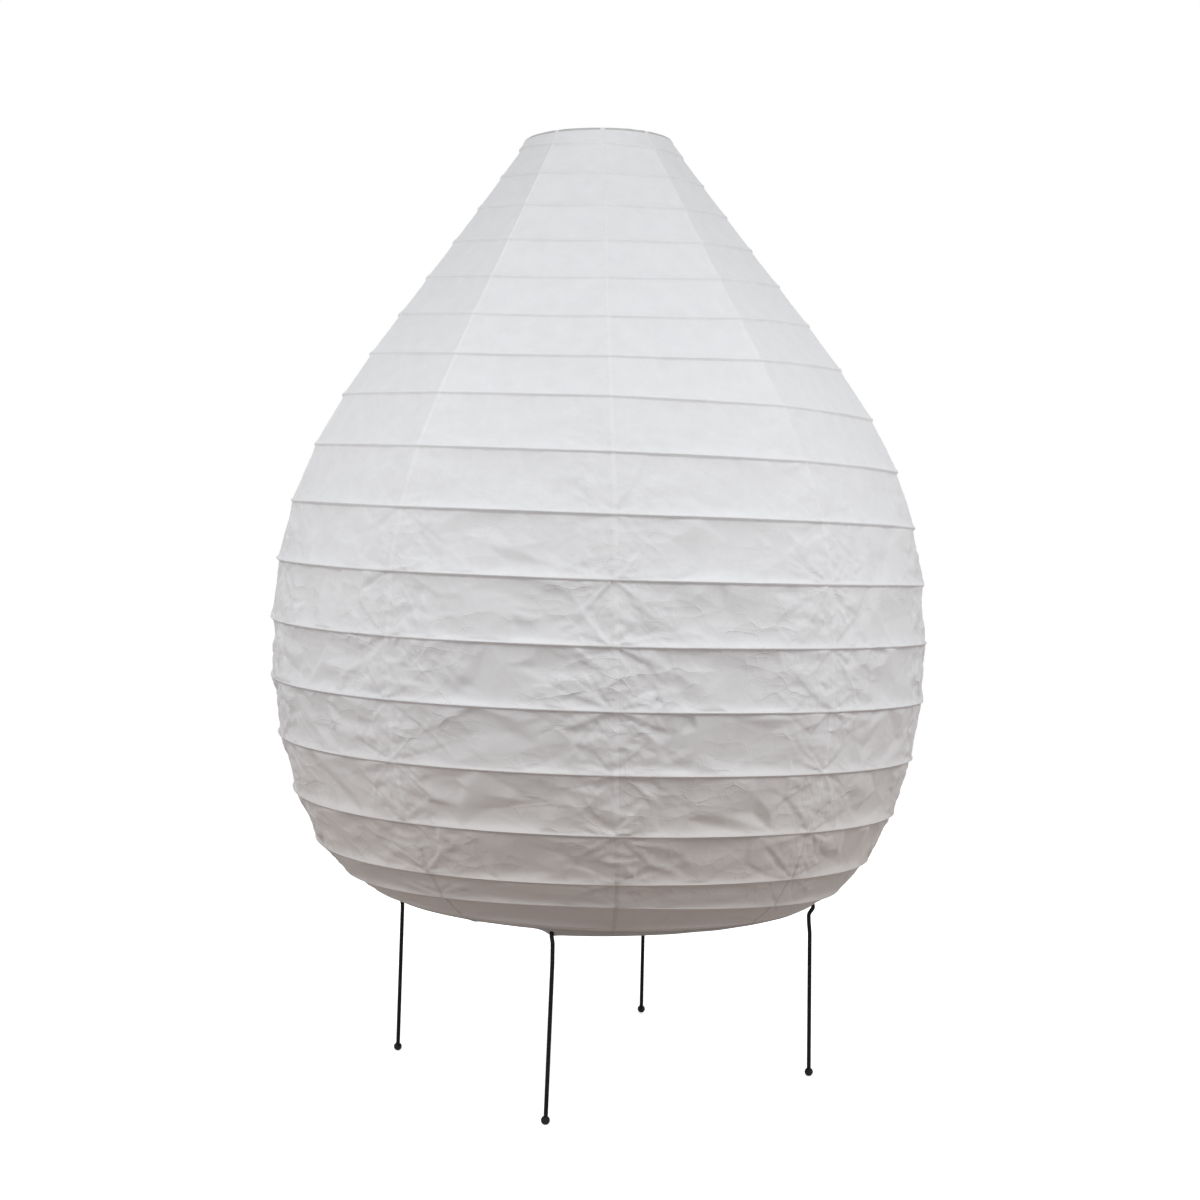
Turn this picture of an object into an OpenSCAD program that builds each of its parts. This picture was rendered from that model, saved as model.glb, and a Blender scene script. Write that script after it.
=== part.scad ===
// Floor lamp with a pleated paper lantern shade on a black wire frame.
// Millimetres, +Z up. The origin is on the floor, on the lamp's axis.
// The front of the lamp faces -Y. Angles round the lamp are measured from the
// front towards +X, so a point at angle a and radius r is (r sin a, -r cos a).

/* [Whole lamp] */
// Overall height, floor to the top of the shade's top ring
lamp_h = 1120; // [1000:10:1300]
// Height of the shade's bottom ring above the floor, to the middle of its wire
ring_h = 209; // [170:1:260]

/* [Shade outline] */
// Radius of the top ring, to the middle of its wire
top_ring_r = 88; // [80:1:120]
// Radius of the bottom ring, to the middle of its wire
bottom_ring_r = 262; // [240:1:290]
// Greatest radius of the shade
belly_r = 395; // [360:1:430]
// Height of the shade's widest place above the floor
belly_h = 512; // [460:1:560]
// Lean of the paper from upright at the top ring, degrees
top_lean = 35; // [30:1:42]
// Rise of the paper from level at the bottom ring, degrees
foot_slope = 17; // [12:1:25]
// How straight the cone runs down from the top ring, as a share of its rise
cone_pull = 0.59; // [0.5:0.01:0.65]
// How upright the shoulder runs into the belly, as a share of its rise
shoulder_pull = 0.44; // [0.35:0.01:0.5]
// How upright the hip leaves the belly, as a share of its rise
hip_pull = 0.45; // [0.35:0.01:0.55]
// How straight the paper leaves the bottom ring, as a share of the hip's rise
foot_pull = 0.26; // [0.2:0.01:0.35]

/* [Shade paper] */
// Number of paper panels round the shade
panel_count = 10; // [8:2:12]
// Angle of the seam nearest the front
seam_turn = 3; // [0:1:30]
// Thickness of the paper with its glue
paper_t = 0.4; // [0.3:0.05:0.6]
// How far the paper draws in between two full pitches of rib
hollow = 5; // [2:0.5:8]
// Facets across one panel
panel_facets = 3; // [2:1:4]

/* [Bamboo rib] */
// Diameter of the rib
rib_d = 2.5; // [2:0.1:3.5]
// Turns from the top ring to the bottom ring
rib_turns = 17.5; // [14.5:1:18.5]
// Pitch at the top ring, as a share of the pitch at the belly
top_crowding = 0.61; // [0.5:0.01:0.9]
// Pitch at the bottom ring, as a share of the pitch at the belly
foot_crowding = 0.19; // [0.15:0.01:0.5]
// Length of paper between the top edge and the rib's first end
rib_first = 7; // [6:0.5:12]
// Length of paper between the rib's last end and the bottom edge
rib_last = 2.5; // [2:0.5:8]

/* [Shade wire] */
// Diameter of the two ring wires and of the bar across the top ring
ring_wire_d = 3; // [2.5:0.1:4]
// Outer diameter of the eye in the middle of the top bar
eye_d = 24; // [20:1:30]
// Thickness of the eye
eye_t = 2; // [1.5:0.1:3]
// How far the eye hangs below the top ring
eye_drop = 20; // [16:1:30]

/* [Legs] */
// Diameter of the leg wire
leg_d = 4.8; // [4:0.1:6]
// Angle of the first leg from the front, measured towards -X
leg_turn = 13; // [0:1:45]
// Bend radius of the crook that the bottom ring sits on
crook_r = 5; // [4:0.5:8]
// Turn of the crook past a right angle, degrees
crook_flare = 35; // [20:1:45]
// Straight wire between the crook and the leg's upper bend
crook_run = 5; // [4:0.5:10]
// Radius of the leg's upper bend
knee_r = 8; // [6:0.5:15]
// Diameter of the ball feet
ball_d = 10; // [8:0.5:16]
// Depth of the flat that each ball foot stands on
ball_flat = 0.4; // [0.3:0.05:0.8]
// Height of the leg wire's end above the floor, inside the ball
wire_end_h = 3; // [2:0.5:4]

/* [Hub] */
// Diameter of the steel hub that holds legs, harp and stem
hub_d = 120; // [110:1:150]
// Thickness of the hub
hub_t = 10; // [9:0.5:14]
// Length of leg wire held in the hub
leg_grip = 36; // [24:1:40]
// Diameter of the grub screws
grub_d = 4; // [3:0.5:5]

/* [Harp] */
// Diameter of the harp wire
harp_d = 4; // [3:0.1:5]
// Distance between the harp's two uprights
harp_w = 100; // [90:1:110]
// Thickness of the collar that the eye rests on
collar_t = 4; // [3:0.5:6]
// Diameter of the stud on the harp
stud_d = 5; // [4:0.5:6]
// Diameter of the knurled nut
nut_d = 14; // [12:1:18]
// Height of the knurled nut
nut_h = 8; // [6:0.5:10]
// Number of knurls on the nut
knurls = 18; // [12:1:24]

/* [Stem] */
// Diameter of the threaded stem
stem_d = 10; // [9:0.5:13]
// Wall of the stem
stem_wall = 1; // [0.8:0.1:1.5]
// Height of the lampholder's underside above the top of the hub
stem_rise = 115; // [60:1:160]
// How far the stem reaches below the hub
stem_tail = 8; // [6:0.5:12]
// Width across the flats of the stem nuts
stem_nut_w = 14; // [13:0.5:17]
// Thickness of the stem nuts
stem_nut_t = 4; // [3:0.5:6]
// Bore of the cord bush in the foot of the stem
bush_bore_d = 6.4; // [5:0.1:7]
// Length of the bush inside the stem
bush_len = 10; // [6:1:16]

/* [Lampholder] */
// Outer diameter of the lampholder
holder_d = 40; // [38:0.5:48]
// Wall of the lampholder's cap and shell
holder_wall = 1.6; // [1.2:0.1:2.4]
// Height of the lampholder's cap
holder_cap_h = 24; // [22:1:30]
// Height of the lampholder's shell above the cap
holder_shell_h = 34; // [30:1:40]
// Height of the ceramic insert that carries the contacts
insert_h = 18; // [14:0.5:22]
// Outer diameter of the bulb's screw cap
screw_d = 26.1; // [25.9:0.1:26.5]
// Height of the bulb's screw cap
screw_h = 22; // [20:1:25]
// Wall of the brass sleeve that takes the screw cap
sleeve_wall = 0.4; // [0.3:0.05:0.8]

/* [Bulb] */
// Diameter of the bulb
bulb_d = 60; // [50:1:75]
// Length of the bulb above its screw cap
bulb_len = 84; // [75:1:100]
// Wall of the opal globe
globe_wall = 1.2; // [0.8:0.1:2]

/* [Clearances] */
// Between the bottom ring and what it moves away from
ring_gap = 0.3; // [0.2:0.05:0.5]
// Round the wires in the hub's bores
wire_fit = 0.1; // [0.05:0.01:0.2]
// Round threaded pieces in their holes
thread_fit = 0.1; // [0.05:0.01:0.2]
// Between the bulb's screw cap and its sleeve
bulb_fit = 0.3; // [0.2:0.05:0.5]
// Between the glued paper and the rib and wires inside it
glue_gap = 0.15; // [0.1:0.01:0.25]

/* [Hidden] */
eps = 0.01;
// facets round a full turn: large walls, bodies, holes and wires
wall_turn = 96;
body_turn = 64;
hole_turn = 32;
wire_turn = 24;
wire_sides = 12;
// ---- heights and radii worked out from the sizes above
ring_wire_r = ring_wire_d / 2;
top_ring_z = lamp_h - ring_wire_r;
leg_r = leg_d / 2;
// the bottom ring rests on the outside of the four crooks
crook_reach = crook_r + leg_r + ring_wire_r + ring_gap;
seat_rise = sqrt(pow(crook_reach, 2) - pow(crook_r, 2));
arm_z = ring_h - seat_rise + crook_r;
arm_end = bottom_ring_r - crook_r;
hub_r = hub_d / 2;
hub_top = arm_z + hub_t / 2;
hub_foot = arm_z - hub_t / 2;
legs = 4;
leg_angle = 360 / legs;
// the harp stands half way between two arms
harp_angle = leg_angle / 2 - leg_turn;
eye_z = top_ring_z - eye_drop;
collar_d = stud_d + 5;
apex_z = eye_z - eye_t / 2 - collar_t / 2;
holder_z = hub_top + stem_rise;

// ---- shade outline: two cubic curves, listed as [radius, height]
function cubic(p, t) = pow(1 - t, 3) * p[0] + 3 * pow(1 - t, 2) * t * p[1]
    + 3 * (1 - t) * t * t * p[2] + pow(t, 3) * p[3];
// the panels are flat between facet edges, so the edges stand clear of the rings
seam_angle = 360 / panel_count;
facet_angle = seam_angle / panel_facets;
facet_room = 1 / cos(facet_angle / 2);
wire_skin = ring_wire_r + glue_gap + paper_t;
top_edge = [(top_ring_r + wire_skin * cos(top_lean)) * facet_room,
            top_ring_z + wire_skin * sin(top_lean)];
foot_edge = [(bottom_ring_r + ring_wire_r + ring_gap) * facet_room + paper_t, ring_h];
belly = [belly_r, belly_h];
cone_rise = top_edge[1] - belly_h;
hip_rise = belly_h - ring_h;
cone_curve = [
    top_edge,
    top_edge + cone_pull * cone_rise * [sin(top_lean), -cos(top_lean)],
    belly + [0, shoulder_pull * cone_rise],
    belly
];
hip_curve = [
    belly,
    belly - [0, hip_pull * hip_rise],
    foot_edge + foot_pull * hip_rise * [cos(foot_slope), sin(foot_slope)],
    foot_edge
];
curve_steps = 40;
outline = concat(
    [for (i = [0 : curve_steps]) cubic(cone_curve, i / curve_steps)],
    [for (i = [1 : curve_steps]) cubic(hip_curve, i / curve_steps)]
);
// length of paper from the top edge to each point of the outline
function running(list, i = 0, sum = 0) = i == len(list) ? []
    : let (step = i == 0 ? 0 : norm(list[i] - list[i - 1]))
      concat([sum + step], running(list, i + 1, sum + step));
lengths = running(outline);
paper_len = lengths[len(lengths) - 1];
height_at = [for (i = [0 : len(outline) - 1]) [lengths[i], outline[i][1]]];
radius_at = [for (i = [len(outline) - 1 : -1 : 0]) [outline[i][1], outline[i][0]]];
function outline_r(z) = lookup(z, radius_at);
// outward normal of the outline at a height, as [radius part, height part]
function outline_normal(z) =
    let (d = rib_d + ring_wire_r, a = max(ring_h, z - d), b = min(top_edge[1], z + d),
         run = [outline_r(b) - outline_r(a), b - a])
    [run[1], -run[0]] / norm(run);

// ---- the rib: one left-handed spiral, from the top ring to the bottom ring
first_seam = seam_turn - 3 * seam_angle;
even_from = 0.46 * rib_turns;
even_to = 0.8 * rib_turns;
// turns of paper taken up by u turns of rib, at the belly's pitch
function taken(u) =
    let (a = min(u, even_from), b = max(0, u - even_from), c = max(0, u - even_to),
         w = rib_turns - even_to)
    top_crowding * a + (1 - top_crowding) * a * a / (2 * even_from) + b
    - (1 - foot_crowding) * pow(c, 3) / (3 * w * w);
// length of paper that one turn of rib takes up at the belly
full_pitch = (paper_len - rib_first - rib_last) / taken(rib_turns);
// The hand-laid rib dips at the front and leans to one side, by a share of the
// full pitch: [share of turns, share of pitch].
front_dip = [[0, 0.029], [0.11, 0.116], [0.23, 0.232], [0.34, 0.232], [0.42, 0.029],
             [0.63, 0.015], [0.74, -0.043], [0.86, -0.058], [0.93, -0.261], [1, 0]];
side_lean = [[0, -0.029], [0.23, -0.058], [0.34, -0.029], [0.42, 0.058], [0.52, 0.043],
             [0.63, 0.015], [0.8, 0.015], [1, 0]];
function rib_length_at(u) = rib_first + full_pitch * taken(u);
function rib_angle(u) = first_seam + 360 * u;
function rib_z(u) =
    let (a = rib_angle(u), share = u / rib_turns)
    lookup(rib_length_at(u), height_at)
    - full_pitch * (lookup(share, front_dip) * pow(max(0, cos(a)), 2)
                    + lookup(share, side_lean) * sin(a));

// ---- points round the lamp
function round_point(r, a, z) = [r * sin(a), -r * cos(a), z];
// how much nearer the axis a facet is at an angle than at its edges
function facet_share(a) =
    let (d = (a - first_seam) / facet_angle, off = (d - floor(d) - 0.5) * facet_angle)
    cos(facet_angle / 2) / cos(off);

// Quads between rows of points, as triangles; each row has the same length.
function patch(rows, columns, start, flip) = [
    for (i = [0 : rows - 2]) for (k = [0 : columns - 2])
        let (a = start + i * columns + k, b = a + 1, c = a + columns, d = c + 1)
        for (t = flip ? [[a, c, b], [b, c, d]] : [[a, b, c], [b, d, c]]) t
];

// ---- rib tube
rib_rings = 24;
rib_sides = 6;
rib_r = rib_d / 2;
rib_depth = paper_t + glue_gap + rib_r;
function rib_point(u) =
    let (z = rib_z(u), n = outline_normal(z), a = rib_angle(u))
    round_point((outline_r(z) - rib_depth * n[0]) * facet_share(a), a, z - rib_depth * n[1]);
rib_steps = round(rib_turns * rib_rings);
// both ends stop short of the seam there, by a share of one step
rib_tuck = 0.25;
rib_line = [for (i = [0 : rib_steps])
    rib_point(min(max(i, rib_tuck), rib_steps - rib_tuck) / rib_rings)];
function unit(v) = v / norm(v);
function heading(line, i) = unit(line[min(i + 1, len(line) - 1)] - line[max(i - 1, 0)]);
// ring of points round p, across the direction t, from a sideways direction
function tube_ring(p, t, across, r, sides) =
    let (side = unit(across - (across * t) * t), up = cross(side, t))
    [for (k = [0 : sides - 1]) p + r * (cos(360 * k / sides) * side + sin(360 * k / sides) * up)];
// least distance between the rib and its next turn, less its thickness
rib_self_gap = min([
    for (i = [0 : len(rib_line) - rib_rings - 1])
        for (j = [i + rib_rings - 6 : min(len(rib_line) - 1, i + rib_rings + 6)])
            norm(rib_line[i] - rib_line[j])
]) - rib_d;
echo("least gap of the rib to its own turns, mm", rib_self_gap);

// ---- names
function numbered(name, i) = str(name, "_", i < 9 ? "0" : "", i + 1);
panels = [for (i = [0 : panel_count - 1]) numbered("paper_panel", i)];
feet = [for (i = [0 : legs - 1]) numbered("ball_foot", i)];
leg_names = [for (i = [0 : legs - 1]) numbered("leg_wire", i)];

paper_colour = [0.86, 0.86, 0.85];
wire_colour = [0.04, 0.04, 0.045];
steel_colour = [0.6, 0.6, 0.62];
brass_colour = [0.78, 0.62, 0.32];
white_colour = [0.93, 0.93, 0.92];

// ---- shade
// One paper panel: rows follow the turns of rib, and draw in between them.
module paper_panel(j) {
    u0 = j / panel_count;
    passes = floor(rib_turns - u0 - 1 / panel_count + eps) + 1;
    columns = panel_facets + 1;
    rows = 2 * passes + 3;
    turns = [for (k = [0 : panel_facets]) u0 + k / panel_facets / panel_count];
    // heights of the top edge, each pass of rib and the bottom edge, by column
    levels = [for (u = turns)
        concat([top_edge[1]], [for (n = [0 : passes - 1]) rib_z(u + n)], [ring_h])];
    function row_z(i, k) = i % 2 == 0 ? levels[k][i / 2]
        : (levels[k][(i - 1) / 2] + levels[k][(i + 1) / 2]) / 2;
    function row_hollow(i, k) = i % 2 == 0 ? 0
        : hollow * min(1, (levels[k][(i - 1) / 2] - levels[k][(i + 1) / 2]) / full_pitch);
    function skin(depth) = [for (i = [0 : rows - 1]) for (k = [0 : columns - 1])
        let (z = row_z(i, k), n = outline_normal(z), d = depth + row_hollow(i, k),
             edge = i == 0 || i == rows - 1 ? 0 : 1)
        round_point(outline_r(z) - d * (edge ? n[0] : 1), rib_angle(turns[k]), z - d * n[1] * edge)];
    back = rows * columns;
    rim = concat(
        [for (k = [0 : columns - 1]) k],
        [for (i = [1 : rows - 1]) i * columns + columns - 1],
        [for (k = [columns - 2 : -1 : 0]) (rows - 1) * columns + k],
        [for (i = [rows - 2 : -1 : 1]) i * columns]
    );
    edge_faces = [for (m = [0 : len(rim) - 1])
        let (a = rim[m], b = rim[(m + 1) % len(rim)])
        for (t = [[b, a, a + back], [b, a + back, b + back]]) t];
    color(paper_colour)
        polyhedron(
            points = concat(skin(0), skin(paper_t)),
            faces = concat(patch(rows, columns, 0, false), patch(rows, columns, back, true), edge_faces)
        );
}

// Closed tube through rings of points.
module tube(points, sides) {
    last = len(points) - sides;
    walls = [for (i = [0 : sides : last - sides]) for (k = [0 : sides - 1])
        let (a = i + k, b = i + (k + 1) % sides)
        for (t = [[a, a + sides, b], [b, a + sides, b + sides]]) t];
    ends = concat(
        [for (k = [1 : sides - 2]) [0, k, k + 1]],
        [for (k = [1 : sides - 2]) [last, last + k + 1, last + k]]
    );
    polyhedron(points = points, faces = concat(walls, ends));
}

// The single bamboo rib that runs inside all the panels.
module bamboo_rib() {
    rings = [for (i = [0 : len(rib_line) - 1])
        let (t = heading(rib_line, i))
        each tube_ring(rib_line[i], t, cross(t, [0, 0, 1]), rib_r, rib_sides)];
    color([0.72, 0.6, 0.4]) tube(rings, rib_sides);
}

// One of the two rings that the paper is folded round.
module wire_ring(r, z) {
    color(steel_colour)
        translate([0, 0, z])
            rotate_extrude($fn = wall_turn) translate([r, 0]) circle(r = ring_wire_r, $fn = wire_turn);
}

// Bar across the top ring, with an eye that sits on the harp.
module top_bar() {
    eye_r = eye_d / 2;
    weld = 1;
    inner = eye_r - weld;
    run = top_ring_r - ring_wire_r - inner;
    drop = top_ring_z - eye_z;
    color(steel_colour)
        rotate([0, 0, harp_angle]) {
            difference() {
                union() {
                    translate([0, 0, eye_z])
                        cylinder(r = eye_r, h = eye_t, center = true, $fn = body_turn);
                    for (side = [0, 180])
                        rotate([0, 0, side])
                            translate([inner, 0, eye_z])
                                rotate([0, atan2(run, drop), 0])
                                    cylinder(r = ring_wire_r, h = norm([run, drop]), $fn = wire_turn);
                }
                translate([0, 0, eye_z])
                    cylinder(d = stud_d + 2 * thread_fit, h = eye_drop, center = true, $fn = hole_turn);
            }
        }
}

// ---- frame
// An arc of wire that starts at the origin along +Z and turns towards +X.
module wire_bend(r, bend, angle) {
    translate([bend, 0, 0])
        rotate([0, 0, 180])
            rotate([90, 0, 0])
                rotate_extrude(angle = angle, $fn = body_turn)
                    translate([bend, 0]) circle(r = r, $fn = wire_turn);
}

// A bent wire: each step is [straight length, turn towards +X, bend radius].
module bent_wire(r, steps, i = 0) {
    length = steps[i][0];
    turn = steps[i][1];
    bend = steps[i][2];
    side = turn < 0 ? 180 : 0;
    cylinder(r = r, h = length, $fn = wire_turn);
    if (i + 1 < len(steps))
        translate([0, 0, length]) {
            rotate([0, 0, side]) wire_bend(r, bend, abs(turn));
            translate([sign(turn) * bend * (1 - cos(turn)), 0, bend * sin(abs(turn))])
                rotate([0, turn, 0]) bent_wire(r, steps, i + 1);
        }
}

// Middle of one leg's wire, as [radius, height]: arm, crook, run, knee and leg.
function arc_points(middle, r, from, to, steps) =
    [for (i = [0 : steps]) let (a = from + (to - from) * i / steps) middle + r * [cos(a), sin(a)]];
arm_start = hub_r - leg_grip;
crook_end = [arm_end, arm_z - crook_r] + crook_r * [cos(crook_flare), -sin(crook_flare)];
knee_start = crook_end - crook_run * [sin(crook_flare), cos(crook_flare)];
knee_middle = knee_start + knee_r * [cos(crook_flare), -sin(crook_flare)];
foot_r = knee_middle[0] - knee_r;
leg_path = concat(
    [[arm_start, arm_z]],
    arc_points([arm_end, arm_z - crook_r], crook_r, 90, -crook_flare, 10),
    arc_points(knee_middle, knee_r, 180 - crook_flare, 180, 4),
    [[foot_r, wire_end_h]]
);
leg_line = [for (p = leg_path) [p[0], 0, p[1]]];

module at_leg(i) {
    rotate([0, 0, i * leg_angle - leg_turn - 90]) children();
}

module leg_wire(i) {
    rings = [for (k = [0 : len(leg_line) - 1])
        each tube_ring(leg_line[k], heading(leg_line, k), [0, 1, 0], leg_r, wire_sides)];
    color(wire_colour) at_leg(i) tube(rings, wire_sides);
}

module ball_foot(i) {
    ball_r = ball_d / 2;
    ball_z = ball_r - ball_flat;
    color(wire_colour)
        at_leg(i)
            translate([foot_r, 0, 0])
                difference() {
                    translate([0, 0, ball_z]) sphere(r = ball_r, $fn = hole_turn);
                    translate([0, 0, -ball_d]) cylinder(r = ball_d, h = ball_d, $fn = hole_turn);
                    translate([0, 0, wire_end_h])
                        cylinder(r = leg_r + wire_fit / 2, h = ball_d, $fn = wire_turn);
                }
}

grub_r = grub_d / 2;
leg_grub_at = hub_r - leg_grip / 2;
// how far the grub screws are sunk below the hub's skin
grub_sink = 0.4;
// thickness of hub left under the harp's feet
harp_floor = 1.5;

// Thick steel disc, bored from the rim for the legs and from above for the harp.
module hub() {
    chamfer = 1;
    color(wire_colour)
        difference() {
            rotate_extrude($fn = wall_turn)
                polygon([[0, hub_foot], [hub_r - chamfer, hub_foot], [hub_r, hub_foot + chamfer],
                         [hub_r, hub_top - chamfer], [hub_r - chamfer, hub_top], [0, hub_top]]);
            translate([0, 0, hub_foot - 1])
                cylinder(d = stem_d + 2 * thread_fit, h = hub_t + 2, $fn = body_turn);
            for (i = [0 : legs - 1])
                at_leg(i) {
                    translate([arm_start, 0, arm_z])
                        rotate([0, 90, 0]) cylinder(r = leg_r + wire_fit, h = leg_grip + 1, $fn = hole_turn);
                    translate([leg_grub_at, 0, hub_foot - 1])
                        cylinder(r = grub_r + thread_fit, h = hub_t / 2 + 1, $fn = wire_turn);
                }
            for (side = [0, 180])
                rotate([0, 0, harp_angle + side]) {
                    translate([harp_w / 2, 0, hub_foot + harp_floor])
                        cylinder(d = harp_d + 2 * wire_fit, h = hub_t, $fn = hole_turn);
                    translate([harp_w / 2, 0, arm_z])
                        rotate([0, 90, 0]) cylinder(r = grub_r + thread_fit, h = hub_r, $fn = wire_turn);
                }
        }
}

// A headless screw along +Z, with its hexagon socket in the lower end.
module grub(low, high) {
    difference() {
        translate([0, 0, low]) cylinder(r = grub_r, h = high - low, $fn = wire_turn);
        translate([0, 0, low - 1]) cylinder(d = grub_r, h = 1 + (high - low) / 2, $fn = 6);
    }
}

// Grub screws under the hub, each against one leg wire.
module leg_grub_screws() {
    color(steel_colour)
        for (i = [0 : legs - 1])
            at_leg(i) translate([leg_grub_at, 0, 0]) grub(hub_foot + grub_sink, arm_z - leg_r);
}

// Grub screws in the hub's rim, each against one foot of the harp.
module harp_grub_screws() {
    tip = harp_w / 2 + harp_d / 2;
    color(steel_colour)
        for (side = [0, 180])
            rotate([0, 0, harp_angle + side])
                translate([0, 0, arm_z])
                    rotate([0, -90, 0]) grub(-hub_r + grub_sink, -tip);
}

// Tall wire bow that carries the top of the shade.
module harp() {
    half = harp_w / 2;
    harp_r = harp_d / 2;
    low = hub_foot + harp_floor;
    rise = apex_z - half - low;
    color(wire_colour)
        rotate([0, 0, harp_angle]) {
            translate([-half, 0, low]) bent_wire(harp_r, [[rise, 180, half], [rise, 0, 1]]);
            translate([0, 0, apex_z - collar_t / 2 + eps])
                cylinder(d = collar_d, h = collar_t - eps, $fn = hole_turn);
            translate([0, 0, apex_z])
                cylinder(d = stud_d, h = eye_z + eye_t / 2 + nut_h + 1 - apex_z, $fn = hole_turn);
        }
}

// Knurled nut that holds the top bar's eye on the harp.
module harp_nut() {
    low = eye_z + eye_t / 2;
    knurl = PI * nut_d / knurls / 2;
    color(brass_colour)
        translate([0, 0, low])
            difference() {
                union() {
                    cylinder(d = nut_d - knurl, h = nut_h, $fn = body_turn);
                    for (k = [0 : knurls - 1])
                        rotate([0, 0, 360 * k / knurls])
                            translate([nut_d / 2 - knurl / 2, 0, 0])
                                cylinder(d = knurl, h = nut_h - 1, $fn = 16);
                }
                translate([0, 0, -1])
                    cylinder(d = stud_d + 2 * thread_fit, h = nut_h + 2, $fn = hole_turn);
            }
}

// ---- stem
stem_foot = hub_foot - stem_tail;
stem_in_cap = 10;
stem_len = holder_z + stem_in_cap - stem_foot;
stem_bore = stem_d - 2 * stem_wall;

// Threaded tube that carries the lampholder and the wires to it.
module stem() {
    color(steel_colour)
        translate([0, 0, stem_foot])
            difference() {
                cylinder(d = stem_d, h = stem_len, $fn = body_turn);
                translate([0, 0, -1]) cylinder(d = stem_bore, h = stem_len + 2, $fn = body_turn);
            }
}

// Two nuts that clamp the stem to the hub.
module stem_nuts() {
    color(steel_colour)
        for (z = [hub_top, hub_foot - stem_nut_t])
            translate([0, 0, z])
                difference() {
                    cylinder(d = stem_nut_w / cos(30), h = stem_nut_t, $fn = 6);
                    translate([0, 0, -1])
                        cylinder(d = stem_d + 2 * thread_fit, h = stem_nut_t + 2, $fn = body_turn);
                }
}

// Plastic bush that guards the cord where it enters the stem.
module cord_bush() {
    flange_t = 2;
    color(wire_colour)
        translate([0, 0, stem_foot - flange_t])
            difference() {
                union() {
                    cylinder(d = stem_d + 2, h = flange_t, $fn = body_turn);
                    cylinder(d = stem_bore - 2 * thread_fit, h = flange_t + bush_len, $fn = body_turn);
                }
                translate([0, 0, -1])
                    cylinder(d = bush_bore_d, h = flange_t + bush_len + 2, $fn = body_turn);
            }
}

// ---- lampholder, drawn upwards from its underside
holder_r = holder_d / 2;
// the shell's spigot sits in the cap, on the insert's flange
spigot_h = 6;
spigot_gap = 0.2;
flange_t = 4;
ledge_z = holder_cap_h - spigot_h - flange_t;
cap_bore_r = holder_r - holder_wall;
spigot_r = cap_bore_r - spigot_gap;
shell_bore_r = spigot_r - holder_wall;
shell_z = holder_cap_h + holder_shell_h;
sleeve_r = screw_d / 2 + bulb_fit;
insert_top = ledge_z + insert_h;
sleeve_top = shell_z - 3;
// the bulb's contact tip stands just clear of the centre contact
tip_t = 0.6;
tip_gap = 0.3;
tip_z = insert_top + 2.4;
screw_z = insert_top + 6;

// Lower half of the lampholder's body, on the stem.
module holder_cap() {
    bore_r = stem_d / 2 + thread_fit;
    boss_r = stem_d / 2 + 4;
    ledge_r = cap_bore_r - 2.5;
    color(wire_colour)
        translate([0, 0, holder_z])
            rotate_extrude($fn = wall_turn)
                polygon([
                    [bore_r, 0], [boss_r, 0], [holder_r - 3, stem_in_cap - 4], [holder_r, stem_in_cap],
                    [holder_r, holder_cap_h], [cap_bore_r, holder_cap_h], [cap_bore_r, ledge_z],
                    [ledge_r, ledge_z], [ledge_r, stem_in_cap], [boss_r, stem_in_cap - 4],
                    [boss_r, stem_in_cap], [bore_r, stem_in_cap]
                ]);
}

// Upper half of the lampholder's body, screwed into the cap.
module holder_shell() {
    mouth_r = sleeve_r + sleeve_wall + 0.8;
    color(wire_colour)
        translate([0, 0, holder_z])
            rotate_extrude($fn = wall_turn)
                polygon([
                    [shell_bore_r, holder_cap_h - spigot_h], [spigot_r, holder_cap_h - spigot_h],
                    [spigot_r, holder_cap_h], [holder_r, holder_cap_h],
                    [holder_r, holder_cap_h + spigot_h], [holder_r - 2, shell_z - 2],
                    [holder_r - 3, shell_z], [mouth_r, shell_z], [mouth_r, sleeve_top],
                    [shell_bore_r, sleeve_top - 5]
                ]);
}

// Ceramic insert that carries the contacts.
module holder_insert() {
    color([0.95, 0.94, 0.9])
        translate([0, 0, holder_z + ledge_z])
            union() {
                cylinder(r = spigot_r, h = flange_t, $fn = body_turn);
                cylinder(r = min(shell_bore_r - spigot_gap, sleeve_r + 1), h = insert_h,
                    $fn = body_turn);
            }
}

// Thin sleeve with the bulb's thread, open at the top.
module screw_sleeve() {
    color(brass_colour)
        translate([0, 0, holder_z + insert_top])
            difference() {
                cylinder(r = sleeve_r + sleeve_wall, h = sleeve_top - insert_top, $fn = body_turn);
                translate([0, 0, -1]) cylinder(r = sleeve_r, h = shell_z, $fn = body_turn);
            }
}

// Spring contact under the bulb's tip, with its rivet plate.
module centre_contact() {
    color(brass_colour)
        translate([0, 0, holder_z + insert_top])
            union() {
                cylinder(r = 5, h = 0.8, $fn = hole_turn);
                cylinder(r = 3, h = tip_z - tip_gap - insert_top, $fn = hole_turn);
            }
}

// ---- bulb
bulb_z = holder_z + screw_z + screw_h;
housing_h = bulb_len * 0.44;
globe_r = bulb_d / 2;
globe_z = bulb_len - globe_r;
housing_r = sqrt(pow(globe_r, 2) - pow(globe_z - housing_h, 2));

// Opal globe, a hollow cap of a sphere.
module bulb_globe() {
    color([0.98, 0.98, 0.97, 0.9])
        translate([0, 0, bulb_z])
            rotate_extrude($fn = wall_turn)
                difference() {
                    translate([0, globe_z]) circle(r = globe_r, $fn = 96);
                    translate([0, globe_z]) circle(r = globe_r - globe_wall, $fn = 96);
                    translate([-bulb_d, housing_h - bulb_d]) square([bulb_d * 2, bulb_d]);
                    translate([-bulb_d, 0]) square([bulb_d, bulb_len + 1]);
                }
}

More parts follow.
